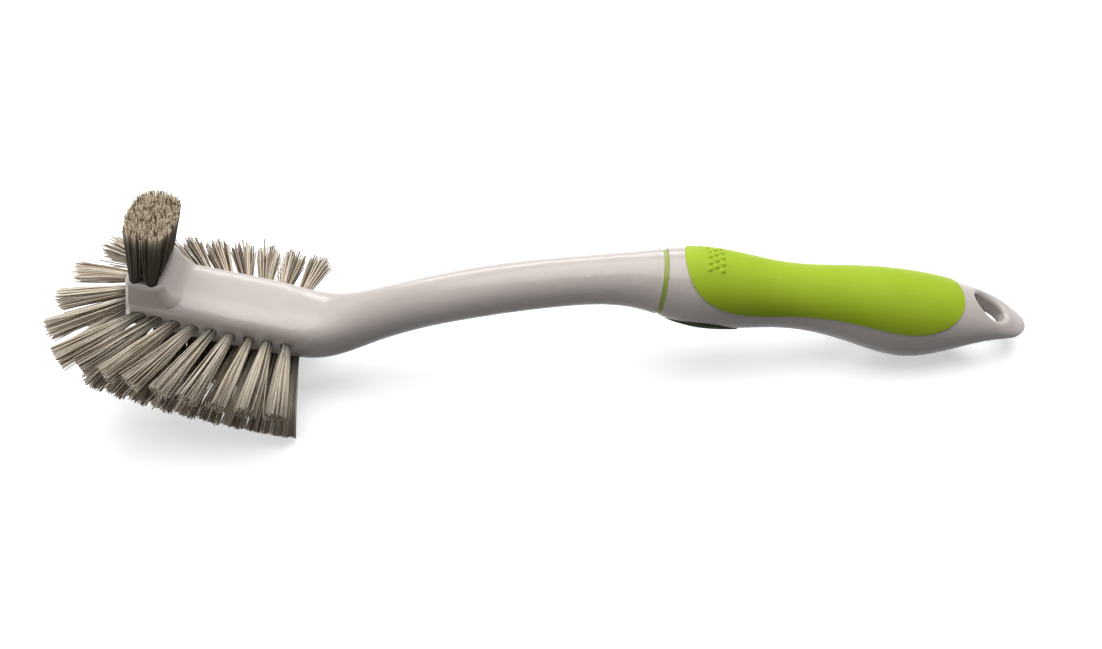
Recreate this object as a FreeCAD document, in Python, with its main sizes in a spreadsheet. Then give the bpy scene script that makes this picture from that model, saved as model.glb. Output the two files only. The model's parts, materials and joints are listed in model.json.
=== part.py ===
import FreeCAD, Part
import math
import os
from FreeCAD import Placement, Rotation, Vector

# A dish brush: one pale moulding from the bristle head to the hanging hole, three soft green
# overmouldings on the grip, and bristle tufts that are each stapled into a blind hole.
# Head frame: origin on the head's top face, +X towards the tail, +Y to the user's right, +Z up.

# Driving dimensions, in millimetres and degrees.
DIMENSIONS = {
    # Head block and the raised nose across its front end
    "nose_reach": 36.0,
    "head_length": 44.0,
    "head_width": 22.0,
    "head_depth": 13.5,
    "head_front_width": 21.0,
    "front_round": 4.5,
    "form_margin": 0.2,
    "nose_inset": 0.8,
    "nose_depth": 10.4,
    "nose_height": 4.6,
    "nose_root": 5.0,
    "nose_cove": 7.0,
    "cove_sink": 0.2,
    "nose_round": 1.5,
    "nose_heel_round": 5.2,
    "nose_flank_round": 3.0,
    # Axis of the moulding: the run from the last station, its slope, and the section there
    "heel_run": 11.5,
    "heel_slope": 4.0,
    "heel_width": 21.0,
    "heel_height": 14.6,
    "foot_run": 14.9,
    "foot_slope": 29.6,
    "foot_width": 16.4,
    "foot_height": 15.2,
    "neck_run": 29.9,
    "neck_slope": 33.2,
    "neck_width": 14.8,
    "neck_height": 14.2,
    "bow_run": 29.7,
    "bow_slope": 26.1,
    "bow_width": 14.4,
    "bow_height": 13.8,
    "collar_run": 23.0,
    "collar_slope": 18.5,
    "collar_width": 17.0,
    "collar_height": 16.4,
    "shoulder_run": 15.6,
    "shoulder_slope": 7.6,
    "shoulder_width": 22.6,
    "shoulder_height": 22.0,
    "waist_run": 26.5,
    "waist_slope": 8.6,
    "waist_width": 19.0,
    "waist_height": 18.2,
    "palm_run": 20.5,
    "palm_slope": 7.0,
    "palm_width": 22.4,
    "palm_height": 21.4,
    "belly_run": 17.6,
    "belly_slope": 4.0,
    "belly_width": 25.4,
    "belly_height": 23.6,
    "tail_run": 16.8,
    "tail_slope": 16.0,
    "tail_width": 20.6,
    "tail_height": 13.6,
    "eye_run": 9.3,
    "eye_slope": 7.2,
    "eye_width": 16.2,
    "eye_height": 7.0,
    "rim_run": 4.4,
    "rim_slope": 0.4,
    "rim_width": 12.4,
    "rim_height": 4.0,
    "tip_run": 2.9,
    "tip_slope": -1.2,
    "tip_width": 5.8,
    "tip_height": 2.3,
    "head_squareness": 4.0,
    "heel_squareness": 2.9,
    "handle_squareness": 2.1,
    # Hanging hole, past the tail station
    "hole_radius": 5.0,
    "hole_setback": 4.6,
    "hole_rim_round": 1.5,
    # Soft overmouldings
    "panel_depth": 1.8,
    "panel_proud": 0.3,
    "panel_lead": 6.4,
    "panel_corner_rise": 5.4,
    "panel_front_rise": 0.4,
    "panel_waist_rise": 0.6,
    "panel_palm_rise": 1.9,
    "panel_belly_rise": 3.2,
    "panel_heel_setback": 8.2,
    "panel_heel_rise": 3.4,
    "panel_end_setback": 3.6,
    "pad_lead": 8.8,
    "pad_length": 27.0,
    "pad_drop": 4.7,
    "pad_proud": 0.3,
    "ring_offset": 5.6,
    "ring_width": 1.4,
    "ring_sink": 0.45,
    "soft_gap": 0.06,
    # Raised thumb dots on the grip panel
    "dot_radius": 0.85,
    "dot_height": 0.45,
    "dot_pitch": 2.2,
    "dot_setback": 0.8,
    # Tufts: blind holes, staples and bundles
    "bore_radius": 1.6,
    "bore_depth": 4.2,
    "tuft_gap": 0.08,
    "shank_lead": 2.0,
    "staple_width": 3.6,
    "staple_height": 1.5,
    "staple_thickness": 0.35,
    "staple_lift": 0.8,
    # Fan rows round the sides and the front of the head
    "row_setback": 3.6,
    "row_pitch": 5.4,
    "fan_rear_yaw": -6.0,
    "fan_yaw_step": 7.3,
    "front_pitch": 5.6,
    "front_yaw_step": 20.0,
    "upper_lift": 6.1,
    "upper_droop": 13.5,
    "upper_front_droop": 26.0,
    "upper_length": 23.6,
    "upper_tip_radius": 3.2,
    "lower_droop": 45.0,
    "lower_front_droop": 50.0,
    "lower_front_pitch": 5.6,
    "lower_length": 24.0,
    "lower_tip_radius": 3.1,
    # Rows under the head
    "centre_inset": 7.6,
    "centre_lean": 10.0,
    "centre_length": 19.0,
    "centre_tip_radius": 2.3,
    # Scrub tufts on the nose
    "scrub_row_spacing": 4.6,
    "scrub_margin": 2.2,
    "scrub_row_lean": 3.2,
    "scrub_fan": 1.3,
    "scrub_length": 19.0,
    "scrub_tip_gap": 0.14,
}
SIDE_TUFTS = 9
UPPER_FRONT_TUFTS = 3
LOWER_FRONT_TUFTS = 2
CENTRE_TUFTS = 7
SCRUB_ROWS = 2
SCRUB_COLUMNS = 5
DOT_ROWS = 3
DOT_COLUMNS = 5
HALF_STEPS = 8
RIM_POINTS = 24
UPRIGHT_LIMIT = 30.0
FACE_TOLERANCE = 0.01
MESH_TOLERANCE = 0.05

# Sizes that follow from the others
FOLLOWING = {
    "scrub_pitch": f"=(head_width - 2 * nose_inset - 2 * scrub_margin) / {SCRUB_COLUMNS - 1}",
    "scrub_tip_radius": "=(scrub_pitch + scrub_length * tan(scrub_fan * 1 deg) - scrub_tip_gap) / 2",
}

doc = FreeCAD.newDocument("dish_brush")
sheet = doc.addObject("Spreadsheet::Sheet", "sizes")
for row, (alias, value) in enumerate({**DIMENSIONS, **FOLLOWING}.items(), start=1):
    sheet.set(f"A{row}", alias)
    sheet.set(f"B{row}", str(value))
    sheet.setAlias(f"B{row}", alias)
doc.recompute()


def size(alias):
    return float(sheet.get(alias))


def bound(kind, name, **expressions):
    """A document object whose properties follow cells of the sheet."""
    thing = doc.addObject(kind, name)
    for prop, expression in expressions.items():
        thing.setExpression(prop, expression)
    return thing


def solid(name, shape):
    """A document object that holds a shape worked out here from the sheet."""
    thing = doc.addObject("Part::Feature", name)
    thing.Shape = shape
    return thing


def combine(kind, name, base, tool):
    thing = doc.addObject(kind, name)
    thing.Base = base
    thing.Tool = tool
    return thing


def bearing(yaw, droop):
    """Unit vector: yaw 0 is sideways to the left and 90 is forwards, droop is below the level."""
    level = math.cos(math.radians(droop))
    return Vector(-level * math.sin(math.radians(yaw)),
                  -level * math.cos(math.radians(yaw)),
                  -math.sin(math.radians(droop)))


def mirrored(vector):
    return Vector(vector.x, -vector.y, vector.z)


# Moulding axis: stations from the front of the head to the tail, in the head frame.
class Station:
    def __init__(self, centre, slope, width, height, squareness):
        self.centre = centre
        self.slope = slope
        self.width = width
        self.height = height
        self.squareness = squareness

    def point(self, angle, grow=0.0):
        """Point of the section, angle 0 at its right side and 90 at its top."""
        across = math.cos(math.radians(angle))
        up = math.sin(math.radians(angle))
        reach = (abs(across) ** self.squareness + abs(up) ** self.squareness) ** (-1 / self.squareness)
        y = across * reach * (self.width / 2 + grow)
        return self.above(up * reach * (self.height / 2 + grow)) + Vector(0, y, 0)

    def above(self, rise):
        tilt = math.radians(self.slope)
        return self.centre + Vector(-math.sin(tilt), 0, math.cos(tilt)) * rise

    def half(self, grow, side):
        """Right (side 1) or left (side -1) half of the outline, from its bottom to its top."""
        step = 180.0 / HALF_STEPS
        points = [self.point(k * step - 90.0, grow) for k in range(1, HALF_STEPS)]
        ends = [self.above(-self.height / 2 - grow), self.above(self.height / 2 + grow)]
        if side < 0:
            points = [mirrored(point) for point in points]
        level = Vector(0, side * math.pi * (self.width / 2 + grow), 0)
        curve = Part.BSplineCurve()
        curve.interpolate(Points=ends[:1] + points + ends[1:],
                          Parameters=[k / HALF_STEPS for k in range(HALF_STEPS + 1)],
                          InitialTangent=level, FinalTangent=-level, Scale=False)
        return curve


AXIS = ["heel", "foot", "neck", "bow", "collar", "shoulder", "waist", "palm", "belly", "tail",
        "eye", "rim", "tip"]


def moulding_stations():
    mid_depth = -size("head_depth") / 2
    places = {}
    for name, share, width in (("head_front", 0.0, "head_front_width"),
                               ("head_middle", 0.5, "head_width"),
                               ("head_rear", 1.0, "head_width")):
        centre = Vector(share * size("head_length") - size("nose_reach"), 0, mid_depth)
        places[name] = Station(centre, 0.0, size(width), size("head_depth"), size("head_squareness"))
    for number, name in enumerate(AXIS):
        slope = size(f"{name}_slope")
        following = size(f"{AXIS[number + 1]}_slope") if name != AXIS[-1] else slope
        run = size(f"{name}_run")
        centre = centre + Vector(math.cos(math.radians(slope)), 0, math.sin(math.radians(slope))) * run
        squareness = size("heel_squareness") if name == "heel" else size("handle_squareness")
        places[name] = Station(centre, (slope + following) / 2, size(f"{name}_width"),
                               size(f"{name}_height"), squareness)
    return places


station = moulding_stations()


def half_skin(halves, travel):
    """Face that runs smoothly through one half of every section."""
    columns = []
    for poles in zip(*(half.getPoles() for half in halves)):
        column = Part.BSplineCurve()
        column.interpolate(Points=list(poles), Parameters=travel)
        columns.append(column)
    surface = Part.BSplineSurface()
    surface.buildFromPolesMultsKnots([column.getPoles() for column in columns],
                                     halves[0].getMultiplicities(), columns[0].getMultiplicities(),
                                     halves[0].getKnots(), columns[0].getKnots(), False, False,
                                     halves[0].Degree, columns[0].Degree)
    return surface.toShape()


def skin(grow=0.0, first="head_front", last="tip"):
    """Solid through the sections from first to last, all of them grown by one amount."""
    names = list(station)
    span = [station[name] for name in names[names.index(first):names.index(last) + 1]]
    travel = [0.0]
    for start, end in zip(span, span[1:]):
        travel.append(travel[-1] + (end.centre - start.centre).Length)
    sides = [[place.half(grow, side) for place in span] for side in (1, -1)]
    faces = [half_skin(halves, travel) for halves in sides]
    for end in (0, -1):
        faces.append(Part.Face(Part.Wire([halves[end].toShape() for halves in sides])))
    shell = Part.makeShell(faces)
    shell.sewShape()
    shape = Part.makeSolid(shell)
    if shape.Volume < 0:
        shape.reverse()
    return shape


# Moulding: head, neck and handle in one skin, before its nose, recesses and holes
moulding = solid("moulding", skin())

# Tuft places: where each bundle leaves the head, and which way it points
class Tuft:
    def __init__(self, name, family, mouth, way):
        self.name = name
        self.family = family
        self.way = way
        self.seat = mouth - way * size("bore_depth")
        self.tip = mouth + way * size(f"{family}_length")

    def placement(self):
        """Local Z runs out along the bundle, and the staple lies across local Y."""
        beside = Vector(0, 0, 1).cross(self.way)
        if beside.Length < math.sin(math.radians(UPRIGHT_LIMIT)):
            beside = Vector(1, 0, 0)
        across = self.way.cross(beside).normalize()
        return Placement(self.seat, Rotation(across.cross(self.way), across, self.way, "ZYX"))

    def rim(self):
        """Points round the edge of the bundle's tip."""
        frame = self.placement().Rotation
        radius = size(f"{self.family}_tip_radius")
        turns = [2 * math.pi * k / RIM_POINTS for k in range(RIM_POINTS)]
        return [self.tip + frame.multVec(Vector(math.cos(turn), math.sin(turn), 0)) * radius
                for turn in turns]


def fan_droop(family, yaw):
    """Droop grows from the sides of the fan to its front."""
    forward = math.sin(math.radians(yaw)) ** 2
    side, front = size(f"{family}_droop"), size(f"{family}_front_droop")
    return side + (front - side) * forward


def side_row(family, start, mouth_y, mouth_z):
    """Fanned row along both sides of the head, from the heel forwards."""
    row = []
    for number in range(SIDE_TUFTS):
        yaw = size("fan_rear_yaw") + number * size("fan_yaw_step")
        way = bearing(yaw, fan_droop(family, max(yaw, 0)))
        mouth = Vector(start - number * size("row_pitch"), -mouth_y, mouth_z)
        row.append(Tuft(f"{family}_tuft_left_{number + 1}", family, mouth, way))
        row.append(Tuft(f"{family}_tuft_right_{number + 1}", family, mirrored(mouth), mirrored(way)))
    return row


def front_row(family, count, pitch, mouth_x, mouth_z):
    """Row round the front of the head, from left to right."""
    row = []
    for number in range(count):
        place = number - (count - 1) / 2
        way = bearing(90 + place * size("front_yaw_step"), size(f"{family}_front_droop"))
        mouth = Vector(mouth_x, place * pitch, mouth_z)
        row.append(Tuft(f"{family}_tuft_front_{number + 1}", family, mouth, way))
    return row


def centre_rows():
    """Two staggered rows that point down under the head."""
    rows = []
    for side in (-1, 1):
        stagger = size("row_pitch") / 2 if side > 0 else size("row_pitch")
        lean = math.radians(size("centre_lean"))
        for number in range(CENTRE_TUFTS):
            mouth = Vector(row_start - stagger - number * size("row_pitch"),
                           side * (size("head_width") / 2 - size("centre_inset")), -size("head_depth"))
            way = Vector(0, side * math.sin(lean), -math.cos(lean))
            rows.append(Tuft(f"centre_tuft_{len(rows) + 1}", "centre", mouth, way))
    return rows


def scrub_block():
    """Upright tufts on the nose, leaning slightly apart."""
    block = []
    for row in range(SCRUB_ROWS):
        for column in range(SCRUB_COLUMNS):
            back = row - (SCRUB_ROWS - 1) / 2
            right = column - (SCRUB_COLUMNS - 1) / 2
            mouth = Vector(size("nose_depth") / 2 - size("nose_reach") + back * size("scrub_row_spacing"),
                           right * size("scrub_pitch"), size("nose_height"))
            way = Vector(math.tan(math.radians(2 * back * size("scrub_row_lean"))),
                         math.tan(math.radians(right * size("scrub_fan"))), 1).normalize()
            block.append(Tuft(f"scrub_tuft_{len(block) + 1}", "scrub", mouth, way))
    return block


row_start = size("row_setback") - size("nose_reach") + (SIDE_TUFTS - 1) * size("row_pitch")
corner = station["head_middle"].point(-45.0)
front_edge_inset = size("front_round") * (1 - math.cos(math.radians(45)))
upper_level = size("upper_lift") - size("head_depth")
fan_tufts = (side_row("upper", row_start, size("head_width") / 2, upper_level)
             + front_row("upper", UPPER_FRONT_TUFTS, size("front_pitch"), -size("nose_reach"), upper_level)
             + side_row("lower", row_start + size("row_pitch") / 2, corner.y, corner.z)
             + front_row("lower", LOWER_FRONT_TUFTS, size("lower_front_pitch"),
                         front_edge_inset - size("nose_reach"), front_edge_inset - size("head_depth")))
centre_tufts = centre_rows()
scrub_tufts = scrub_block()
all_tufts = fan_tufts + centre_tufts + scrub_tufts

# Rest pose: the brush lies on its tuft tips and on the belly of its grip
tip_points = [point for tuft in all_tufts for point in tuft.rim()]
skin_points = moulding.Shape.tessellate(MESH_TOLERANCE)[0]
grip_points = [point for point in skin_points if point.x > station["waist"].centre.x]


def rise_to_grip(start):
    return min(math.atan2(point.z - start.z, point.x - start.x) for point in grip_points)


low_tips = sorted(tip_points, key=lambda point: point.z)[:4 * RIM_POINTS]
pitch = Rotation(Vector(0, 1, 0), math.degrees(max(rise_to_grip(tip) for tip in low_tips)))
turned = [pitch.multVec(point) for point in tip_points + skin_points]
middle_x = (min(point.x for point in turned) + max(point.x for point in turned)) / 2
rest = Placement(Vector(-middle_x, 0, -min(point.z for point in turned)), pitch)

# Nose: a bar across the head's front end, with a hollow cove down to the head's top
def round_edges(name, base, radius, chosen):
    """Rounds the edges of base that the test picks."""
    rounded = doc.addObject("Part::Fillet", name)
    rounded.Base = base
    rounded.Edges = [(number, radius, radius)
                     for number, edge in enumerate(base.Shape.Edges, start=1) if chosen(edge.BoundBox)]
    return rounded


nose_bar = bound("Part::Box", "nose_bar",
                 Length="sizes.nose_depth + sizes.nose_cove",
                 Width="sizes.head_width - 2 * sizes.nose_inset",
                 Height="sizes.nose_height + sizes.nose_root")
nose_bar.setExpression(".Placement.Base.x", "-sizes.nose_reach")
nose_bar.setExpression(".Placement.Base.y", "sizes.nose_inset - sizes.head_width / 2")
nose_bar.setExpression(".Placement.Base.z", "-sizes.nose_root")
doc.recompute()
bar_rear = nose_bar.Shape.BoundBox.XMax
eased_bar = round_edges("eased_bar", nose_bar, size("nose_heel_round"),
                        lambda box: box.XMin > bar_rear - FACE_TOLERANCE and box.YLength < FACE_TOLERANCE)
cove = bound("Part::Cylinder", "cove", Radius="sizes.nose_cove", Height="2 * sizes.head_width")
cove.Placement = Placement(Vector(), Rotation(Vector(1, 0, 0), 90))
cove.setExpression(".Placement.Base.x", "sizes.nose_depth + sizes.nose_cove - sizes.nose_reach")
cove.setExpression(".Placement.Base.y", "sizes.head_width")
cove.setExpression(".Placement.Base.z", "sizes.nose_cove - sizes.cove_sink")
nose = combine("Part::Cut", "nose", eased_bar, cove)
doc.recompute()
flanked_nose = round_edges("flanked_nose", nose, size("nose_flank_round"),
                           lambda box: box.ZMin > -size("cove_sink") - FACE_TOLERANCE
                           and box.ZLength > FACE_TOLERANCE)
doc.recompute()
rounded_nose = round_edges("rounded_nose", flanked_nose, size("nose_round"),
                           lambda box: box.ZMin > size("nose_height") - FACE_TOLERANCE)
headed = combine("Part::Fuse", "headed", moulding, rounded_nose)

# Front form: what lies outside it is taken off the head's front corners and lower front edge
front_form = bound("Part::Box", "front_form",
                   Length="3 * sizes.front_round",
                   Width="sizes.head_width + 2 * sizes.form_margin",
                   Height="sizes.head_depth + 2 * sizes.nose_height")
front_form.setExpression(".Placement.Base.x", "-sizes.nose_reach")
front_form.setExpression(".Placement.Base.y", "-sizes.head_width / 2 - sizes.form_margin")
front_form.setExpression(".Placement.Base.z", "-sizes.head_depth - sizes.form_margin")
doc.recompute()
form_top = front_form.Shape.BoundBox.ZMax
rounded_form = round_edges("rounded_form", front_form, size("front_round"),
                           lambda box: box.XLength < FACE_TOLERANCE and box.ZMin < form_top - FACE_TOLERANCE
                           and box.XMax < FACE_TOLERANCE - size("nose_reach"))
front_stock = bound("Part::Box", "front_stock",
                    Length="2 * sizes.front_round",
                    Width="2 * sizes.head_width",
                    Height="2 * sizes.head_depth + sizes.nose_height")
front_stock.setExpression(".Placement.Base.x", "-sizes.nose_reach - sizes.front_round")
front_stock.setExpression(".Placement.Base.y", "-sizes.head_width")
front_stock.setExpression(".Placement.Base.z", "-2 * sizes.head_depth")
front_waste = combine("Part::Cut", "front_waste", front_stock, rounded_form)
blank = combine("Part::Cut", "blank", headed, front_waste)
doc.recompute()

# Soft overmouldings: each fills a recess that is cut down to a core under the grip's skin
core = solid("core", skin(-size("panel_depth"), "foot", "eye"))
clear_core = solid("clear_core", skin(size("soft_gap") - size("panel_depth"), "foot", "eye"))


def side_prism(edge_points, closing_points, inset):
    """Prism across the grip: a curve seen from the side, drawn in by inset, closed by straight lines."""
    half_span = Vector(0, size("belly_width"), 0)
    curve = Part.BSplineCurve()
    curve.interpolate(edge_points)
    inwards = [curve.tangent(curve.parameter(point))[0].cross(Vector(0, 1, 0)) for point in edge_points]
    edge = [point + way * inset - half_span for point, way in zip(edge_points, inwards)]
    curve.interpolate(edge)
    corners = [edge[-1]] + [point - half_span for point in closing_points] + [edge[0]]
    lines = [Part.makeLine(start, end) for start, end in zip(corners, corners[1:])]
    return Part.Face(Part.Wire([curve.toShape()] + lines)).extrude(half_span * 2)


def panel_region(inset):
    """Upper half of the grip, from the shoulder to the tail."""
    shoulder, waist, tail = station["shoulder"], station["waist"], station["tail"]
    clear_of_skin = size("panel_depth")
    edge = [shoulder.above(shoulder.height / 2 + clear_of_skin) - Vector(size("panel_lead"), 0, 0),
            shoulder.above(size("panel_corner_rise")),
            (shoulder.centre + waist.centre) * 0.5 + Vector(0, 0, size("panel_front_rise")),
            waist.above(size("panel_waist_rise")),
            station["palm"].above(size("panel_palm_rise")),
            station["belly"].above(size("panel_belly_rise")),
            tail.above(size("panel_heel_rise")) - Vector(size("panel_heel_setback"), 0, 0),
            tail.above(tail.height / 2 + clear_of_skin) - Vector(size("panel_end_setback"), 0, 0)]
    top = Vector(0, 0, station["belly"].height)
    return side_prism(edge, [edge[-1] + top, edge[0] + top], inset)


def pad_region(inset):
    """Underside of the grip behind the collar, where the forefinger lies."""
    shoulder, waist = station["shoulder"], station["waist"]
    reach = waist.centre - shoulder.centre
    start = shoulder.centre - Vector(size("pad_lead"), 0, 0)
    middle = start + Vector(size("pad_length") / 2, 0, 0)
    end = start + Vector(size("pad_length"), 0, 0)
    rise = reach.z / reach.x
    below = Vector(0, 0, -shoulder.height / 2 - size("panel_depth"))
    lift = Vector(0, 0, rise * size("pad_length"))
    crest = middle + lift * 0.5 - Vector(0, 0, size("pad_drop") + rise * size("pad_lead"))
    edge = [end + lift + below, crest, start + below]
    depth = Vector(0, 0, -shoulder.height)
    return side_prism(edge, [edge[-1] + depth, edge[0] + depth], inset)


def ring_region(inset):
    """Slice square to the axis, just behind the collar."""
    slope = size("shoulder_slope")
    along = Vector(math.cos(math.radians(slope)), 0, math.sin(math.radians(slope)))
    middle = station["collar"].centre + along * size("ring_offset")
    width = size("ring_width") - 2 * inset
    reach = size("shoulder_width")
    slab = Part.makeBox(width, 2 * reach, 2 * reach, Vector(-width / 2, -reach, -reach))
    slab.Placement = Placement(middle, Rotation(Vector(0, 1, 0), -slope))
    return slab


def overmoulding(name, region, grow):
    """The recess that a soft piece fills, and the piece itself."""
    recess = combine("Part::Cut", f"{name}_recess", solid(f"{name}_region", region(0)), core)
    bed = combine("Part::Cut", f"{name}_bed", solid(f"{name}_inset", region(size("soft_gap"))), clear_core)
    piece = combine("Part::Common", f"{name}_piece", solid(f"{name}_skin", skin(grow, "foot")), bed)
    return recess, piece


panel_recess, panel_sheet = overmoulding("panel", panel_region, size("panel_proud"))
pad_recess, finger_pad = overmoulding("pad", pad_region, size("pad_proud"))
ring_recess, collar_ring = overmoulding("ring", ring_region, -size("ring_sink"))
doc.recompute()


def thumb_dots():
    """Low domes in staggered rows across the panel, near the shoulder."""
    cap, base = size("dot_height"), size("dot_radius")
    ball = (base ** 2 + cap ** 2) / (2 * cap)
    turn = 2 * size("dot_pitch") / size("shoulder_width")
    dots = []
    for row in range(DOT_ROWS):
        columns = DOT_COLUMNS - row % 2
        back = size("dot_setback") + (row - (DOT_ROWS - 1) / 2) * size("dot_pitch")
        axis = station["shoulder"].centre + Vector(back, 0, 0)
        for column in range(columns):
            lean = (column - (columns - 1) / 2) * turn
            outside = axis + Vector(0, math.sin(lean), math.cos(lean)) * size("shoulder_width")
            touch = panel_sheet.Shape.distToShape(Part.Vertex(outside))[1][0][0]
            outwards = (outside - touch).normalize()
            dots.append(Part.makeSphere(ball, touch - outwards * (ball - cap)))
    return dots


dots = [solid(f"dot_{number}", dot) for number, dot in enumerate(thumb_dots(), start=1)]
grip_panel = doc.addObject("Part::MultiFuse", "grip_panel")
grip_panel.Shapes = [panel_sheet] + dots

# Tuft patterns: a bundle folded round its staple, which bites into the walls of a blind hole
staple = bound("Part::Box", "staple", Length="sizes.staple_thickness", Width="sizes.staple_width",
               Height="sizes.staple_height")
staple.setExpression(".Placement.Base.x", "-sizes.staple_thickness / 2")
staple.setExpression(".Placement.Base.y", "-sizes.staple_width / 2")
staple.setExpression(".Placement.Base.z", "sizes.staple_lift")
bore = bound("Part::Cylinder", "bore", Radius="sizes.bore_radius", Height="2 * sizes.bore_depth")
bore_form = combine("Part::Fuse", "bore_form", bore, staple)
shank = bound("Part::Cylinder", "shank", Radius="sizes.bore_radius - sizes.tuft_gap",
              Height="sizes.bore_depth + sizes.shank_lead")


def tuft_pattern(family):
    flare = bound("Part::Cone", f"{family}_flare", Radius1="sizes.bore_radius - sizes.tuft_gap",
                  Radius2=f"sizes.{family}_tip_radius",
                  Height=f"sizes.{family}_length - sizes.shank_lead")
    flare.setExpression(".Placement.Base.z", "sizes.bore_depth + sizes.shank_lead")
    bundle = combine("Part::Fuse", f"{family}_bundle", shank, flare)
    return combine("Part::Cut", f"{family}_pattern", bundle, staple)


pattern = {family: tuft_pattern(family) for family in ("upper", "lower", "centre", "scrub")}
doc.recompute()


def placed(shape, placement):
    copy = shape.copy()
    copy.Placement = placement.multiply(copy.Placement)
    return copy


# Brush body: the blank with its soft recesses, tuft holes and hanging hole
tuft_bores = solid("tuft_bores", Part.makeCompound([placed(bore_form.Shape, tuft.placement())
                                                    for tuft in all_tufts]))
eye_way = math.radians(size("eye_slope"))
hole_centre = station["tail"].centre + (Vector(math.cos(eye_way), 0, math.sin(eye_way))
                                        * size("hole_setback"))
hanging_hole = bound("Part::Cylinder", "hanging_hole", Radius="sizes.hole_radius",
                     Height="4 * sizes.tail_height")
hole_turn = Rotation(Vector(0, 1, 0), -size("eye_slope"))
hanging_hole.Placement = Placement(
    hole_centre - hole_turn.multVec(Vector(0, 0, 2 * size("tail_height"))), hole_turn)
recesses = doc.addObject("Part::MultiFuse", "recesses")
recesses.Shapes = [panel_recess, pad_recess, ring_recess, hanging_hole]
handled = combine("Part::Cut", "handled", blank, recesses)
doc.recompute()
rimmed = round_edges("rimmed", handled, size("hole_rim_round"),
                     lambda box: abs(box.Center.x - hole_centre.x) < size("hole_radius")
                     and box.YLength > size("hole_radius") - FACE_TOLERANCE)
brush_body = combine("Part::Cut", "brush_body", rimmed, tuft_bores)

# Nodes: every separate piece, turned into its rest pose
def node(label, thing, place=Placement()):
    thing.Label = label
    thing.Placement = rest.multiply(place)
    nodes[label] = thing


nodes = {}
node("brush_body", brush_body)
node("grip_panel", grip_panel)
node("finger_pad", finger_pad)
node("collar_ring", collar_ring)
for tuft in fan_tufts + scrub_tufts:
    node(tuft.name, solid(tuft.name, pattern[tuft.family].Shape), tuft.placement())
node("centre_tufts", solid("centre_tufts", Part.makeCompound(
    [placed(pattern["centre"].Shape, tuft.placement()) for tuft in centre_tufts])))
node("tuft_staples", solid("tuft_staples", Part.makeCompound(
    [placed(staple.Shape, tuft.placement()) for tuft in all_tufts])))
doc.recompute()

# Checks and files
for thing in doc.Objects:
    if "Invalid" in thing.State or "Error" in thing.State:
        raise RuntimeError(f"{thing.Name} failed: {thing.State}")
for label, piece in nodes.items():
    if piece.Shape.isNull() or not piece.Shape.isValid() or not piece.Shape.Solids:
        raise RuntimeError(f"{label} has no valid solid")
os.makedirs("parts", exist_ok=True)
for label, piece in nodes.items():
    piece.Shape.exportStep(f"parts/{label}.step")
print(f"{len(nodes)} nodes, rest pitch {math.degrees(pitch.Angle):.2f} degrees")
hole_at = rest.multVec(hole_centre)
hole_along = pitch.multVec(hole_turn.multVec(Vector(0, 0, 1)))
print(f"hanging hole at {hole_at}, along {hole_along}")
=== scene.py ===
# %% [markdown]
# # A dish brush
# This lesson dresses a finished CAD model of a dish brush. The brush has one pale plastic
# moulding, soft green grips, and bundles of bristle that are stapled into the head.
# The CAD solids come first and stay where they are. Each cell then adds one piece or one finish.

import json
import math
import random

import bmesh
import bpy
from mathutils import Matrix, Vector

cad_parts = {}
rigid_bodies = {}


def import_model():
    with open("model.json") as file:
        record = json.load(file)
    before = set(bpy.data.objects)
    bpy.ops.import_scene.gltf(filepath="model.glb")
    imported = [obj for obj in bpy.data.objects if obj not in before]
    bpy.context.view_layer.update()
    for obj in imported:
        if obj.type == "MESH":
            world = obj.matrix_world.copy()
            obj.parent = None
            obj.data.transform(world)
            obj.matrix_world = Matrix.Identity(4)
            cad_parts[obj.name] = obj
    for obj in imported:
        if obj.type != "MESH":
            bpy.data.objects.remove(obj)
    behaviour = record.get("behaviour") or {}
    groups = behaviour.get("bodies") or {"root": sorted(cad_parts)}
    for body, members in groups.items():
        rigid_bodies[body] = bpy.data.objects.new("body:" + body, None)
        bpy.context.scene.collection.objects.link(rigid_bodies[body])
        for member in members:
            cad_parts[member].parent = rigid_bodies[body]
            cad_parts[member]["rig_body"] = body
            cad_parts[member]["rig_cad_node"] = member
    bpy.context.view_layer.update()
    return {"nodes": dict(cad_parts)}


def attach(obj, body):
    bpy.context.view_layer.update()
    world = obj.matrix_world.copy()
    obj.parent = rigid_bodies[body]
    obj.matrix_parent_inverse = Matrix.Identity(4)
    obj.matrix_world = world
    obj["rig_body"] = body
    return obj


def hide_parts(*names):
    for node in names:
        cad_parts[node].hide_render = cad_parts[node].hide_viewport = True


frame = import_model()

# %% [markdown]
# ## Camera
# The photograph was taken from the left of the brush, from about 43 degrees above the floor.
# A camera could be aimed with a track-to constraint, but the real one was also rolled a little.
# So its three axes are written down as measured, and they become the columns of its matrix.

# %% Camera
CAMERA_PLACE = Vector((0.03282, -0.22875, 0.23093))
CAMERA_RIGHT = Vector((0.99385, 0.02822, -0.10711))
CAMERA_UP = Vector((0.05871, 0.68577, 0.72545))
SENSOR_WIDTH = 36.0
FOCAL_LENGTH = 34.3
NEAREST_SEEN = 0.01

camera_data = bpy.data.cameras.new("photo_camera")
camera_data.sensor_width = SENSOR_WIDTH
camera_data.lens = FOCAL_LENGTH
camera_data.clip_start = NEAREST_SEEN
camera = bpy.data.objects.new("photo_camera", camera_data)
bpy.context.scene.collection.objects.link(camera)
camera_back = CAMERA_RIGHT.cross(CAMERA_UP)
turn = Matrix((CAMERA_RIGHT, CAMERA_UP, camera_back)).transposed().to_4x4()
camera.matrix_world = Matrix.Translation(CAMERA_PLACE) @ turn
bpy.context.scene.camera = camera
print("camera at", [round(value, 3) for value in CAMERA_PLACE])

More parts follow.
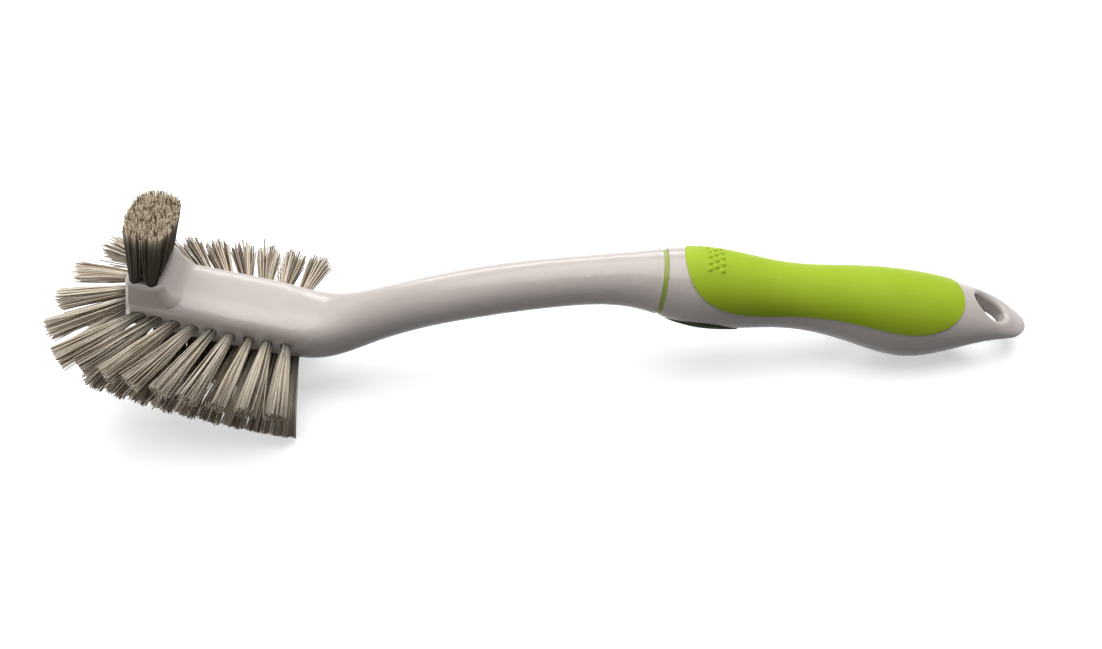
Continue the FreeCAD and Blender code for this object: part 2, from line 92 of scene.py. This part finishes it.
# %% [markdown]
# ## Floor and light
# The brush lies on a plain floor. The photograph has a white ground, and a white floor would do, but
# it would throw so much light back that the underside would be too bright. So the camera and the
# gloss of the plastic see the floor lifted to white, while the soft light that it throws back comes
# from a darker colour. The Light Path node tells these rays apart. The lift grows with the distance
# from the brush, because the lamps don't reach the far floor.

# %% Floor
FLOOR_SIZE = 6.0

bpy.ops.object.select_all(action="DESELECT")
bpy.ops.mesh.primitive_plane_add(size=FLOOR_SIZE, location=(0.0, 0.0, 0.0))
floor = bpy.context.object
floor.name = "floor"
print("floor", FLOOR_SIZE, "m")


# %% Rays that see the white ground
def seen_directly(nodes, links):
    """One where the camera, a gloss or a see-through surface looks, and zero for soft light."""
    path = nodes.new("ShaderNodeLightPath")
    seen = path.outputs["Is Camera Ray"]
    for ray in ("Is Glossy Ray", "Is Transmission Ray"):
        either = nodes.new("ShaderNodeMath")
        either.operation = "MAXIMUM"
        links.new(seen, either.inputs[0])
        links.new(path.outputs[ray], either.inputs[1])
        seen = either.outputs[0]
    return seen


print("the camera and the gloss see white")

# %% Floor finish
FLOOR_COLOUR = (0.06, 0.057, 0.054, 1.0)
FLOOR_SEEN_COLOUR = (0.9, 0.9, 0.9, 1.0)
NEAR_FLOOR = 0.3
NEAR_LIFT = 0.5
FAR_FLOOR = 1.2
FAR_LIFT = 1.0

floor_finish = bpy.data.materials.new("floor_paper")
floor_finish.use_nodes = True
nodes, links = floor_finish.node_tree.nodes, floor_finish.node_tree.links
nodes.clear()
plain = nodes.new("ShaderNodeBsdfDiffuse")
plain.inputs["Color"].default_value = FLOOR_COLOUR
paper = nodes.new("ShaderNodeBsdfDiffuse")
paper.inputs["Color"].default_value = FLOOR_SEEN_COLOUR
spot = nodes.new("ShaderNodeTexCoord")
distance = nodes.new("ShaderNodeVectorMath")
distance.operation = "LENGTH"
links.new(spot.outputs["Object"], distance.inputs[0])
fade = nodes.new("ShaderNodeMapRange")
fade.inputs["From Min"].default_value = NEAR_FLOOR
fade.inputs["From Max"].default_value = FAR_FLOOR
fade.inputs["To Min"].default_value = NEAR_LIFT
fade.inputs["To Max"].default_value = FAR_LIFT
links.new(distance.outputs["Value"], fade.inputs["Value"])
lift = nodes.new("ShaderNodeEmission")
links.new(fade.outputs["Result"], lift.inputs["Strength"])
bright = nodes.new("ShaderNodeAddShader")
links.new(paper.outputs[0], bright.inputs[0])
links.new(lift.outputs[0], bright.inputs[1])
choice = nodes.new("ShaderNodeMixShader")
links.new(seen_directly(nodes, links), choice.inputs[0])
links.new(plain.outputs[0], choice.inputs[1])
links.new(bright.outputs[0], choice.inputs[2])
surface = nodes.new("ShaderNodeOutputMaterial")
links.new(choice.outputs[0], surface.inputs["Surface"])
floor.data.materials.append(floor_finish)
print("made", floor_finish.name)

# %% [markdown]
# One wide soft lamp hangs overhead, because the photograph has bright tops and dark lower sides.
# A narrow one stands behind the brush, where the glossy plastic mirrors it along its far edges, and
# a weak one in front of the head lights the end of the nose. A sun would give hard shadows, which
# the photograph doesn't have.

# %% Lamps
LIGHT_AIM = Vector((0.0, 0.0, 0.03))
KEY_PLACE = Vector((0.10, 0.10, 0.80))
KEY_SIZE = (1.0, 1.0)
KEY_POWER = 7.0
EDGE_PLACE = Vector((-0.02, 0.55, 0.30))
EDGE_SIZE = (0.60, 0.12)
EDGE_POWER = 1.3
SIDE_PLACE = Vector((-0.60, -0.10, 0.15))
SIDE_SIZE = (0.30, 0.30)
SIDE_POWER = 1.5


def soft_light(name, shape, place, size, power):
    """An area lamp that faces the brush."""
    lamp = bpy.data.lights.new(name, "AREA")
    lamp.shape = shape
    lamp.size, lamp.size_y = size
    lamp.energy = power
    holder = bpy.data.objects.new(name, lamp)
    bpy.context.scene.collection.objects.link(holder)
    holder.location = place
    holder.rotation_euler = (LIGHT_AIM - place).to_track_quat("-Z", "Y").to_euler()


soft_light("key_light", "DISK", KEY_PLACE, KEY_SIZE, KEY_POWER)
soft_light("edge_light", "RECTANGLE", EDGE_PLACE, EDGE_SIZE, EDGE_POWER)
soft_light("side_light", "RECTANGLE", SIDE_PLACE, SIDE_SIZE, SIDE_POWER)
print("lamps of", KEY_POWER, EDGE_POWER, "and", SIDE_POWER, "W")

# %% [markdown]
# The world stands for the rest of a studio. It adds a low even fill, and like the floor it is white
# to the camera and to the gloss. A picture of a studio could do the same, but plain white is what
# the photograph shows.

# %% World
WORLD_STRENGTH = 0.06
WHITE = (1.0, 1.0, 1.0, 1.0)

world = bpy.data.worlds.new("studio")
bpy.context.scene.world = world
world.use_nodes = True
nodes, links = world.node_tree.nodes, world.node_tree.links
nodes.clear()
fill = nodes.new("ShaderNodeBackground")
fill.inputs["Strength"].default_value = WORLD_STRENGTH
white = nodes.new("ShaderNodeBackground")
for background in (fill, white):
    background.inputs["Color"].default_value = WHITE
choice = nodes.new("ShaderNodeMixShader")
links.new(seen_directly(nodes, links), choice.inputs[0])
links.new(fill.outputs[0], choice.inputs[1])
links.new(white.outputs[0], choice.inputs[2])
sky = nodes.new("ShaderNodeOutputWorld")
links.new(choice.outputs[0], sky.inputs["Surface"])
bpy.context.scene.view_settings.view_transform = "Standard"
print("fill", WORLD_STRENGTH)

# %% [markdown]
# ## Finishes
# Every finish on the brush is a small node tree. On the moulded pieces a noise pattern drives the
# colour, and a finer one drives the roughness, so that no surface is one flat colour. A picture
# could be wrapped round each piece, but noise needs no unwrapping and looks the same on every side.
# All patterns read Object coordinates, in metres, so a scale of 1000 gives features about one
# millimetre across.

# %% Patterns
NOISE_DETAIL = 3.0
RAMP_MIDDLE = 0.5


def noise(tree, place, scale):
    """A soft random pattern."""
    pattern = tree.nodes.new("ShaderNodeTexNoise")
    pattern.inputs["Scale"].default_value = scale
    pattern.inputs["Detail"].default_value = NOISE_DETAIL
    tree.links.new(place, pattern.inputs["Vector"])
    return pattern.outputs["Fac"]


def ramp(tree, factor, *stops):
    """Colour ramp from (position, colour) stops."""
    blend = tree.nodes.new("ShaderNodeValToRGB")
    while len(blend.color_ramp.elements) < len(stops):
        blend.color_ramp.elements.new(RAMP_MIDDLE)
    for element, (position, colour) in zip(blend.color_ramp.elements, stops):
        element.position = position
        element.color = (*colour, 1.0)
    tree.links.new(factor, blend.inputs["Fac"])
    return blend.outputs["Color"]


print("patterns ready")

# %% Pattern ranges
NOISE_LOW = 0.3
NOISE_HIGH = 0.7


def spread(tree, factor, low, high):
    """The usual range of the noise mapped to low and high."""
    stretch = tree.nodes.new("ShaderNodeMapRange")
    stretch.inputs["From Min"].default_value = NOISE_LOW
    stretch.inputs["From Max"].default_value = NOISE_HIGH
    stretch.inputs["To Min"].default_value = low
    stretch.inputs["To Max"].default_value = high
    tree.links.new(factor, stretch.inputs["Value"])
    return stretch.outputs["Result"]


def bump(tree, shader, place, scale, strength, depth):
    """A fine moulded grain, with its depth in metres."""
    relief = tree.nodes.new("ShaderNodeBump")
    relief.inputs["Strength"].default_value = strength
    relief.inputs["Distance"].default_value = depth
    tree.links.new(noise(tree, place, scale), relief.inputs["Height"])
    tree.links.new(relief.outputs["Normal"], shader.inputs["Normal"])


print("noise is used from", NOISE_LOW, "to", NOISE_HIGH)


# %% Starting a finish
def finish(name, specular):
    """A new material with its node tree, its shader and its Object coordinates."""
    material = bpy.data.materials.new(name)
    material.use_nodes = True
    tree = material.node_tree
    shader = tree.nodes["Principled BSDF"]
    shader.inputs["Specular IOR Level"].default_value = specular
    place = tree.nodes.new("ShaderNodeTexCoord")
    return material, tree, shader, place.outputs["Object"]


def moulded(name, colours, patches, roughness, grain, specular=0.5):
    """A finish between two colours in wide patches, with a roughness that varies by its grain."""
    material, tree, shader, place = finish(name, specular)
    shade = ramp(tree, noise(tree, place, patches), *zip((NOISE_LOW, NOISE_HIGH), colours))
    tree.links.new(shade, shader.inputs["Base Color"])
    gloss = spread(tree, noise(tree, place, grain), *roughness)
    tree.links.new(gloss, shader.inputs["Roughness"])
    return material, tree, shader, place


print("finish helpers ready")

# %% [markdown]
# The moulding is a pale, warm grey-white plastic with a satin gloss. Moulded plastic is almost
# even, so the colour noise is wide and faint, and a fine noise varies only the roughness.

# %% Pale shell finish
pale_shell, tree, shader, place = moulded(
    "pale_shell", colours=((0.63, 0.562, 0.525), (0.67, 0.60, 0.562)), patches=35.0,
    roughness=(0.20, 0.26), grain=160.0, specular=0.45)
bump(tree, shader, place, scale=2600.0, strength=0.02, depth=0.0001)
print("made", pale_shell.name)

# %% [markdown]
# The grip is a soft lime plastic. It is less glossy than the shell and has a fine moulded grain,
# which a bump at about a quarter of a millimetre gives. The ring is the same plastic in a darker
# green, painted shade for its groove, and the pad under the grip is dark green and nearly matt.

# %% Soft grip finishes
lime_grip, tree, shader, place = moulded(
    "lime_grip", colours=((0.41, 0.58, 0.028), (0.46, 0.63, 0.04)), patches=60.0,
    roughness=(0.38, 0.52), grain=700.0, specular=0.1)
bump(tree, shader, place, scale=4200.0, strength=0.12, depth=0.0002)

# The ring's darker green is painted shade for its groove.
lime_ring_painted_shade, tree, shader, place = moulded(
    "lime_ring_painted_shade", colours=((0.30, 0.37, 0.045), (0.36, 0.43, 0.065)), patches=90.0,
    roughness=(0.38, 0.52), grain=700.0)

dark_grip, tree, shader, place = moulded(
    "dark_grip", colours=((0.018, 0.028, 0.012), (0.035, 0.05, 0.022)), patches=90.0,
    roughness=(0.65, 0.85), grain=900.0, specular=0.1)
bump(tree, shader, place, scale=4200.0, strength=0.15, depth=0.0002)
print("made", lime_grip.name, lime_ring_painted_shade.name, dark_grip.name)

# %% [markdown]
# A flat metal staple holds each bundle at the bottom of its hole. The CAD solids already have that
# shape and are hidden in the head, so they stay and only get a dull metal finish.

# %% Staple finish
staple_metal, tree, shader, place = moulded(
    "staple_metal", colours=((0.55, 0.53, 0.48), (0.68, 0.66, 0.60)), patches=800.0,
    roughness=(0.25, 0.45), grain=3000.0)
shader.inputs["Metallic"].default_value = 1.0
frame["nodes"]["tuft_staples"].data.materials.clear()
frame["nodes"]["tuft_staples"].data.materials.append(staple_metal)
print("made", staple_metal.name)

# %% [markdown]
# Bristle is thin plastic filament. No two strands have quite the same tone, so each strand carries
# a value of its own, and a second value runs from its root to its cut tip. The finish reads both:
# the first picks the colour, and the second darkens it towards the root as painted shade, where
# strands crowd.

# %% Bristle finish
TONE_STOPS = (0.0, 0.45, 1.0)
BRISTLE_SPECULAR = 0.15
BRISTLE_ROUGHNESS = (0.42, 0.6)
BRISTLE_GRAIN = 1500.0


def bristle_finish(name, colours, painted_shade_stops):
    """Strand colour by its own tone, dimmed by painted shade along its run by (position, share) stops."""
    material, tree, shader, place = finish(name, BRISTLE_SPECULAR)
    tone = tree.nodes.new("ShaderNodeAttribute")
    tone.attribute_name = "strand_tone"
    run = tree.nodes.new("ShaderNodeAttribute")
    run.attribute_name = "strand_run"
    colour = ramp(tree, tone.outputs["Fac"], *zip(TONE_STOPS, colours))
    # Painted shade: the run darkens the colour towards the root, by the stops given.
    depth = ramp(tree, run.outputs["Fac"], *((position, (share,) * 3) for position, share in painted_shade_stops))
    mix = tree.nodes.new("ShaderNodeMix")
    mix.data_type = "RGBA"
    mix.blend_type = "MULTIPLY"
    mix.inputs["Factor"].default_value = 1.0
    tree.links.new(colour, mix.inputs["A"])
    tree.links.new(depth, mix.inputs["B"])
    tree.links.new(mix.outputs["Result"], shader.inputs["Base Color"])
    gloss = spread(tree, noise(tree, place, BRISTLE_GRAIN), *BRISTLE_ROUGHNESS)
    tree.links.new(gloss, shader.inputs["Roughness"])
    return material


print("bristle takes its colour from", len(TONE_STOPS), "tones")

# %% Bristle colours
CREAM = ((0.09, 0.06, 0.035), (0.76, 0.64, 0.50), (0.96, 0.89, 0.77))
# The second set is the cream painted darker all over: painted shade for the tufts under the head.
PAINTED_SHADE_CREAM = ((0.06, 0.042, 0.028), (0.22, 0.18, 0.14), (0.42, 0.37, 0.31))
BROWN = ((0.08, 0.052, 0.028), (0.46, 0.365, 0.255), (0.86, 0.755, 0.60))

bristle = bristle_finish("bristle", CREAM, painted_shade_stops=((0.16, 0.28), (0.36, 1.0)))
# The lower rows get the same cream with painted shade that reaches further along the strand.
lower_bristle = bristle_finish("lower_bristle", CREAM, painted_shade_stops=((0.2, 0.16), (0.66, 1.0)))
inner_bristle_painted_shade = bristle_finish("inner_bristle_painted_shade", PAINTED_SHADE_CREAM, painted_shade_stops=((0.16, 0.4), (0.36, 1.0)))
# The scrub finish carries painted shade down most of each strand, and only the cut tips keep full colour.
scrub_bristle = bristle_finish("scrub_bristle", BROWN, painted_shade_stops=((0.16, 0.1), (0.8, 0.34), (1.0, 1.0)))
print("made", bristle.name, lower_bristle.name, inner_bristle_painted_shade.name, scrub_bristle.name)

# %% [markdown]
# ## Shell and grips
# The CAD solids already have the right shape, but their meshes are loose flat triangles, which would
# show as facets on a glossy surface. They could be remeshed, but that would blur their edges. So a
# copy of each is merged and shaded smooth where its faces meet at a small angle, and large faces
# lead the shading of the small ones beside them.

# %% Smooth copies
SMOOTH_ANGLE = math.radians(32.0)
MERGE_DISTANCE = 0.000002


def only(piece):
    """Makes one piece the only selected one."""
    bpy.ops.object.select_all(action="DESELECT")
    piece.select_set(True)
    bpy.context.view_layer.objects.active = piece


def smooth_copy(node, name, material):
    """A smooth piece that stands for a CAD node."""
    piece = frame["nodes"][node].copy()
    piece.data = piece.data.copy()
    piece.name = name
    piece.parent = None
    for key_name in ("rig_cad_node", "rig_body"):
        del piece[key_name]
    bpy.context.scene.collection.objects.link(piece)
    only(piece)
    bpy.ops.mesh.customdata_custom_splitnormals_clear()
    bpy.ops.object.mode_set(mode="EDIT")
    bpy.ops.mesh.select_all(action="SELECT")
    bpy.ops.mesh.remove_doubles(threshold=MERGE_DISTANCE)
    bpy.ops.object.mode_set(mode="OBJECT")
    bpy.ops.object.shade_smooth_by_angle(angle=SMOOTH_ANGLE)
    bpy.ops.object.modifier_add(type="WEIGHTED_NORMAL")
    piece.modifiers[-1].keep_sharp = True
    bpy.ops.object.modifier_apply(modifier=piece.modifiers[-1].name)
    piece.data.materials.clear()
    piece.data.materials.append(material)
    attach(piece, "root")
    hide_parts(node)
    print(name, len(piece.data.polygons), "faces")


smooth_copy("brush_body", "shell", pale_shell)
smooth_copy("grip_panel", "soft_panel", lime_grip)
smooth_copy("collar_ring", "soft_ring", lime_ring_painted_shade)
smooth_copy("finger_pad", "soft_pad", dark_grip)

# %% [markdown]
# ## One strand of bristle
# A tuft is a bundle of filaments. A particle system could grow them, but the export needs meshes,
# so one strand is modelled and copied. It starts as a five-sided cylinder one unit long. It is cut
# across where a strand leaves its hole and opens out, so that a copy can bend there, and its cut
# tip is drawn in slightly.

# %% Strand
STRAND_SIDES = 5
STRAND_RADIUS = 0.00018
STRAND_LENGTH = 1.0
BEND_SHARES = (0.18, 0.32, 0.6)
TIP_TAPER = 0.8

bpy.ops.object.select_all(action="DESELECT")
bpy.ops.mesh.primitive_cylinder_add(vertices=STRAND_SIDES, radius=STRAND_RADIUS, depth=STRAND_LENGTH,
                                    location=(0.0, 0.0, STRAND_LENGTH / 2))
strand = bpy.context.object
strand.name = "strand"
bpy.ops.object.transform_apply(location=True)
bpy.ops.object.mode_set(mode="EDIT")
for share in BEND_SHARES:
    bpy.ops.mesh.select_all(action="SELECT")
    bpy.ops.mesh.bisect(plane_co=(0.0, 0.0, share), plane_no=(0.0, 0.0, 1.0))
bpy.ops.mesh.select_all(action="DESELECT")
bpy.ops.mesh.select_mode(type="EDGE")
edited = bmesh.from_edit_mesh(strand.data)
for edge in edited.edges:
    edge.select_set(min(vertex.co.z for vertex in edge.verts) > max(BEND_SHARES))
bpy.ops.transform.resize(value=(TIP_TAPER, TIP_TAPER, 1.0))
bpy.ops.object.mode_set(mode="OBJECT")
print("strand", len(strand.data.polygons), "faces")

# %% [markdown]
# ## Tufts
# Each CAD tuft is a flared solid. Its flat end gives the direction of the bundle and the place of
# the cut tips, so nothing has to be typed in again. Only the vertices at the far end are used.

# %% Reading a tuft from its solid
RIM_DEPTH = 0.00005
NORMAL_DIGITS = 2


def tuft_axis(mesh):
    """Seat, tip centre, direction and tip radius of a flared solid, from its largest flat end."""
    ends = {}
    for face in mesh.polygons:
        key_normal = tuple(round(value, NORMAL_DIGITS) for value in face.normal)
        ends.setdefault(key_normal, []).append(face)
    flat = max(ends.values(), key=lambda faces: sum(face.area for face in faces))
    way = sum((face.normal * face.area for face in flat), Vector()).normalized()
    far = max(vertex.co.dot(way) for vertex in mesh.vertices)
    near = min(vertex.co.dot(way) for vertex in mesh.vertices)
    rim = [vertex.co for vertex in mesh.vertices if vertex.co.dot(way) > far - RIM_DEPTH]
    tip = sum(rim, Vector()) / len(rim)
    radius = max((point - tip).length for point in rim)
    return tip - way * (far - near), tip, way, radius


seat, tip, way, radius = tuft_axis(frame["nodes"]["upper_tuft_left_1"].data)
print("upper_tuft_left_1 is", round((tip - seat).length, 4), "m long,", round(radius, 4), "m at its tip")

# %% [markdown]
# A bundle is one mesh. Every strand in it is a copy of the model strand, led along a line from a
# point in the hole to a point among the cut tips. It runs straight near its root and opens out
# beyond. A tone and a run are stored on each vertex for the finish to read.

# %% Directions across a bundle
LEAST_ACROSS = 0.3


def bundle_axes(way):
    """Two directions across a bundle, the first as near to the brush's width as it can be."""
    width = Vector((0.0, 1.0, 0.0))
    across = width - way * width.dot(way)
    if across.length < LEAST_ACROSS:
        across = way.cross(Vector((0.0, 0.0, 1.0)))
    across.normalize()
    return across, way.cross(across)


print("across that tuft", [round(value, 2) for value in bundle_axes(way)[0]])

# %% Bundles of strands
STRAIGHT_SHARE = BEND_SHARES[0]
ROOT_RADIUS = 0.00134
TONE_SPREAD = 0.36


def lay_bundle(name, way, lines, thickness, opening, tone_mean, material, chance):
    """One piece with a strand along each line, a root, a tip and a sideways sway.

    An opening below one spreads the strands early, as where tufts press together.
    """
    across, beside = bundle_axes(way)
    bundle = bmesh.new()
    tone = bundle.verts.layers.float.new("strand_tone")
    run = bundle.verts.layers.float.new("strand_run")
    for root, tip, sway in lines:
        length = (tip - root).dot(way)
        drift = tip - root - way * length
        tint = min(1.0, max(0.0, chance.gauss(tone_mean, TONE_SPREAD)))
        first = len(bundle.verts)
        bundle.from_mesh(strand.data)
        bundle.verts.ensure_lookup_table()
        for vertex in bundle.verts[first:]:
            along = vertex.co.z
            opened = max(0.0, (along - STRAIGHT_SHARE) / (1.0 - STRAIGHT_SHARE))
            bend = (across - beside) * sway * math.sin(math.pi * opened)
            skin = (across * vertex.co.x + beside * vertex.co.y) * thickness
            vertex.co = root + way * (length * along) + drift * opened ** opening + bend + skin
            vertex[tone] = tint
            vertex[run] = along
    mesh = bpy.data.meshes.new(name)
    bundle.to_mesh(mesh)
    bundle.free()
    piece = bpy.data.objects.new(name, mesh)
    bpy.context.scene.collection.objects.link(piece)
    only(piece)
    bpy.ops.object.shade_smooth()
    mesh.materials.append(material)
    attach(piece, "root")
    return piece


print("strands start up to", ROOT_RADIUS, "m from the tuft's axis")

# %% [markdown]
# The fan tufts are round bundles that flare towards their tips. Their strands are laid out like the
# seeds of a sunflower, which fills a circle evenly, and a few strays lean out of the bundle. Points
# strewn at random would leave holes and clumps.

# %% Lines of a round tuft
GOLDEN_TURN = math.pi * (3.0 - math.sqrt(5.0))
TURN_JITTER = 0.3
FAN_JITTER = (0.88, 1.02)
STRAY_SHARE = 0.04
STRAY_LEAN = 1.5
SWAY = 0.0003
LEAST_LENGTH = 0.985


def round_lines(solid, count, flare, chance):
    """Lines from the hole to the tips of one round tuft, flared by a factor, and its direction."""
    seat, tip, way, radius = tuft_axis(solid)
    across, beside = bundle_axes(way)
    lines = []
    for number in range(count):
        share = math.sqrt((number + 0.5) / count)
        angle = number * GOLDEN_TURN + chance.uniform(-TURN_JITTER, TURN_JITTER)
        outwards = across * math.cos(angle) + beside * math.sin(angle)
        fan = share * radius * flare * chance.uniform(*FAN_JITTER)
        if chance.random() < STRAY_SHARE:
            fan *= STRAY_LEAN
        end = seat + (tip - seat) * chance.uniform(LEAST_LENGTH, 1.0)
        sway = chance.uniform(-SWAY, SWAY)
        end += outwards * fan
        end.z = max(end.z, STRAND_RADIUS)
        lines.append((seat + outwards * share * ROOT_RADIUS, end, sway))
    return way, lines


print("one in", round(1 / STRAY_SHARE), "strands strays")

# %% [markdown]
# All the fan tufts are made in one loop over their CAD nodes, each with a seed of its own. The lower
# rows have a finish whose painted shade stays dark for more of the strand, because the upper rows
# shade them. In the photograph the row on the far side looks darker and wider, so the right side has
# a lower tone, which is painted shade, and flares more.

# %% Fan tufts
FAN_STRANDS = 112
FAN_THICKNESS = 1.2
FAN_FLARE = {"upper": 1.06, "lower": 1.27}
FAR_FLARE = 1.2
# The lower tone on the right is painted shade on the far row; the others are the strands' own tone.
FAN_TONE_AND_SHADE = {"left": 0.58, "front": 0.58, "right": 0.36}
FAN_FINISH = {"upper": bristle, "lower": lower_bristle}
EVEN_OPENING = 1.0
FAN_SEED = 1

fan_nodes = [name for name in sorted(frame["nodes"]) if name.startswith(("upper_tuft", "lower_tuft"))]
for seed, name in enumerate(fan_nodes, start=FAN_SEED):
    chance = random.Random(seed)
    row, _, side, _ = name.split("_")
    flare = FAN_FLARE[row]
    if side == "right":
        flare *= FAR_FLARE
    way, lines = round_lines(frame["nodes"][name].data, FAN_STRANDS, flare, chance)
    piece = lay_bundle(f"{name}_bristle", way, lines, FAN_THICKNESS, EVEN_OPENING, FAN_TONE_AND_SHADE[side],
                       FAN_FINISH[row], chance)
    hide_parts(name)
print(len(fan_nodes), "fan tufts of", FAN_STRANDS, "strands")

# %% [markdown]
# The scrub block on the nose is two rows of five tufts, but they press together and read as one
# dense block with a low domed top. Ten round bundles would leave gaps at the top. So the tips are
# laid out over the whole block: each tuft fills its own cell of one rounded rectangle, and the
# strands open out soon after they leave the hole.

# %% Measuring the scrub block
SCRUB_COLUMNS = 5
SCRUB_ROWS = 2

scrub_nodes = [f"scrub_tuft_{number + 1}" for number in range(SCRUB_COLUMNS * SCRUB_ROWS)]
scrub_axes = {name: tuft_axis(frame["nodes"][name].data) for name in scrub_nodes}
block_tip = sum((axis[1] for axis in scrub_axes.values()), Vector()) / len(scrub_nodes)
block_up = sum((axis[2] for axis in scrub_axes.values()), Vector()).normalized()
block_long, block_wide = bundle_axes(block_up)


def block_half(direction, count):
    """Half the block's size in one direction: the outer tufts' tips and half a cell beyond."""
    places = [(axis[1] - block_tip).dot(direction) for axis in scrub_axes.values()]
    return max(places) * count / (count - 1)


half_long = block_half(block_long, SCRUB_COLUMNS)
half_wide = block_half(block_wide, SCRUB_ROWS)
print("scrub block", round(2 * half_long, 4), "by", round(2 * half_wide, 4), "m at its top")

# %% Lines of a scrub tuft
SCRUB_GRID = (9, 10)
CELL_JITTER = (0.1, 0.9)
HOLE_ROUND = 0.5
CORNER_ROUND = 0.38
DOME_LONG = 0.0004
DOME_WIDE = 0.0005
SCRUB_UNEVEN = 0.001


def drawn_in(along, across, rounding):
    """A place in a square from -1 to 1 whose corners are drawn in. A half makes it a circle."""
    return along * math.sqrt(1 - rounding * across ** 2), across * math.sqrt(1 - rounding * along ** 2)


def scrub_lines(name, chance):
    """Lines of one scrub tuft, which fills its cell of the block's top, and its direction."""
    seat, tip, way, _ = scrub_axes[name]
    column = round((tip - block_tip).dot(block_long) / (2 * half_long) * SCRUB_COLUMNS)
    row = math.copysign(1 / SCRUB_ROWS, (tip - block_tip).dot(block_wide))
    lines = []
    for step_long in range(SCRUB_GRID[0]):
        for step_wide in range(SCRUB_GRID[1]):
            along = (step_long + chance.uniform(*CELL_JITTER)) / SCRUB_GRID[0] * 2 - 1
            across = (step_wide + chance.uniform(*CELL_JITTER)) / SCRUB_GRID[1] * 2 - 1
            root_long, root_wide = drawn_in(along, across, HOLE_ROUND)
            root = seat + (block_long * root_long + block_wide * root_wide) * ROOT_RADIUS
            cell_long = (2 * column + along) / SCRUB_COLUMNS
            cell_wide = row + across / SCRUB_ROWS
            top_long, top_wide = drawn_in(cell_long, cell_wide, CORNER_ROUND)
            dip = DOME_LONG * cell_long ** 2 + DOME_WIDE * cell_wide ** 2 + chance.uniform(0, SCRUB_UNEVEN)
            end = block_tip + block_long * half_long * top_long + block_wide * half_wide * top_wide
            lines.append((root, end - block_up * dip, 0.0))
    return way, lines


print("a scrub tuft has", SCRUB_GRID[0] * SCRUB_GRID[1], "strands")

# %% Scrub tufts
SCRUB_THICKNESS = 1.15
SCRUB_TONE = 0.58
EARLY_OPENING = 0.5
SCRUB_SEED = 101

for seed, name in enumerate(scrub_nodes, start=SCRUB_SEED):
    chance = random.Random(seed)
    way, lines = scrub_lines(name, chance)
    piece = lay_bundle(f"{name}_bristle", way, lines, SCRUB_THICKNESS, EARLY_OPENING, SCRUB_TONE,
                       scrub_bristle, chance)
    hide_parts(name)
print(len(scrub_nodes), "scrub tufts")

# %% [markdown]
# The tufts under the head are one CAD node, because they are alike and hidden. Their places could be
# typed in, but the solids already hold them. So a copy of the node is merged and separated into
# loose parts, each part gives one bundle, and the bundles are joined. They lie in the shade of the
# head, so their colours are painted darker all over, as painted shade, the darkest of the bristle.

# %% Centre solids
group = frame["nodes"]["centre_tufts"].copy()
group.data = group.data.copy()
group.parent = None
bpy.context.scene.collection.objects.link(group)
only(group)
bpy.ops.object.mode_set(mode="EDIT")
bpy.ops.mesh.select_all(action="SELECT")
bpy.ops.mesh.remove_doubles(threshold=MERGE_DISTANCE)
bpy.ops.mesh.separate(type="LOOSE")
bpy.ops.object.mode_set(mode="OBJECT")
solids = list(bpy.context.selected_objects)
print(len(solids), "tufts under the head")

# %% Centre tufts
CENTRE_STRANDS = 110
CENTRE_FLARE = 1.4
CENTRE_THICKNESS = 1.2
CENTRE_TONE = 0.58
CENTRE_SEED = 201

bundles = []
for seed, solid in enumerate(solids, start=CENTRE_SEED):
    chance = random.Random(seed)
    way, lines = round_lines(solid.data, CENTRE_STRANDS, CENTRE_FLARE, chance)
    bundles.append(lay_bundle(f"centre_bundle_{seed}", way, lines, CENTRE_THICKNESS, EARLY_OPENING,
                              CENTRE_TONE, inner_bristle_painted_shade, chance))
bpy.ops.object.select_all(action="DESELECT")
for bundle in bundles:
    bundle.select_set(True)
bpy.context.view_layer.objects.active = bundles[0]
bpy.ops.object.join()
bundles[0].name = "centre_tufts_bristle"
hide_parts("centre_tufts")
for solid in solids + [strand]:
    bpy.data.objects.remove(solid)
print("centre tufts of", CENTRE_STRANDS, "strands")
